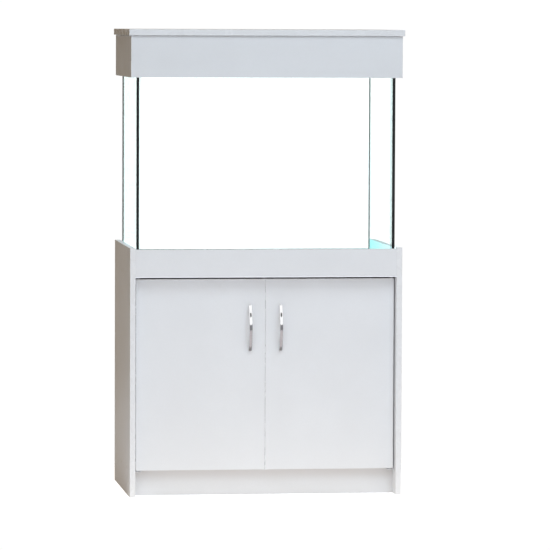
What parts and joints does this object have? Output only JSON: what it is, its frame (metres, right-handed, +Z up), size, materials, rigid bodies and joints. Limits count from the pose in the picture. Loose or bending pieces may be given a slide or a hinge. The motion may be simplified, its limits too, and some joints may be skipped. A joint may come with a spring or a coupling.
{
  "type": "aquarium stand cabinet",
  "caption": "White two-door aquarium stand cabinet with bow handles and a recessed plinth, carrying an all-glass tank under a box hood with a hinged lid.",
  "frame": {"origin": "floor level, under the middle of the object's width and depth", "axes": "+X to the right seen from the front, +Y towards the back, +Z up"},
  "size_m": [0.808, 0.492, 1.3635],
  "materials": {
    "white_board": "white melamine-faced board with matching edging",
    "hardboard": "brown hardboard, white on its inner face",
    "foam": "closed-cell foam",
    "glass": "float glass with polished edges",
    "silicone": "clear silicone",
    "chrome": "bright chrome plate",
    "zinc_steel": "bright zinc plate",
    "white_plastic": "moulded",
    "ferrite": "sintered",
    "raw_wood": "planed softwood"
  },
  "bodies": {
    "cabinet": {"side_panel_left": "white_board", "side_panel_right": "white_board", "fascia": "white_board", "deck_board": "white_board", "bottom_board": "white_board", "centre_partition": "white_board", "plinth_board": "white_board", "rear_rail": "white_board", "back_panel": "hardboard", "tank_mat": "foam", "side_screws_left": "zinc_steel", "side_screws_right": "zinc_steel", "screw_caps_left": "white_plastic", "screw_caps_right": "white_plastic", "partition_screws": "zinc_steel", "back_panel_nails": "zinc_steel", "hinge_plates_upper": "zinc_steel", "hinge_plates_lower": "zinc_steel", "hinge_pins": "zinc_steel", "hinge_plate_screws": "zinc_steel", "catch_cases": "white_plastic", "catch_magnets": "ferrite", "catch_pole_plates": "zinc_steel", "catch_screws": "zinc_steel"},
    "left_door": {"door_left": "white_board", "handle_left": "chrome", "handle_screws_left": "zinc_steel", "hinge_bushes_left": "white_plastic", "strike_plate_left": "zinc_steel", "strike_screw_left": "zinc_steel"},
    "right_door": {"door_right": "white_board", "handle_right": "chrome", "handle_screws_right": "zinc_steel", "hinge_bushes_right": "white_plastic", "strike_plate_right": "zinc_steel", "strike_screw_right": "zinc_steel"},
    "tank": {"tank_base": "glass", "tank_front": "glass", "tank_back": "glass", "tank_side_left": "glass", "tank_side_right": "glass", "brace_front": "glass", "brace_back": "glass", "brace_cross": "glass", "silicone_seams": "silicone"},
    "hood": {"hood_front": "white_board", "hood_back": "white_board", "hood_side_left": "white_board", "hood_side_right": "white_board", "hood_battens": "raw_wood", "hood_corner_blocks": "raw_wood", "hinge_leaves_hood": "zinc_steel", "lid_hinge_pins": "zinc_steel", "leaf_screws_hood": "zinc_steel"},
    "lid": {"lid_board": "white_board", "hinge_leaves_lid": "zinc_steel", "leaf_screws_lid": "zinc_steel"}
  },
  "joints": [
    {"name": "left_door_hinge", "type": "hinge", "parent": "cabinet", "child": "left_door", "pos_m": [-0.372, -0.204, 0.357], "axis": [0, 0, -1], "range_deg": [0, 95]},
    {"name": "right_door_hinge", "type": "hinge", "parent": "cabinet", "child": "right_door", "pos_m": [0.372, -0.204, 0.357], "axis": [0, 0, 1], "range_deg": [0, 95]},
    {"name": "tank_lift", "type": "slide", "parent": "cabinet", "child": "tank", "axis": [0, 0, 1], "range_m": [0, 0.09]},
    {"name": "hood_lift", "type": "slide", "parent": "tank", "child": "hood", "axis": [0, 0, 1], "range_m": [0, 0.08]},
    {"name": "lid_hinge", "type": "hinge", "parent": "hood", "child": "lid", "pos_m": [0, 0.2432, 1.34525], "axis": [-1, 0, 0], "range_deg": [0, 100]}
  ]
}
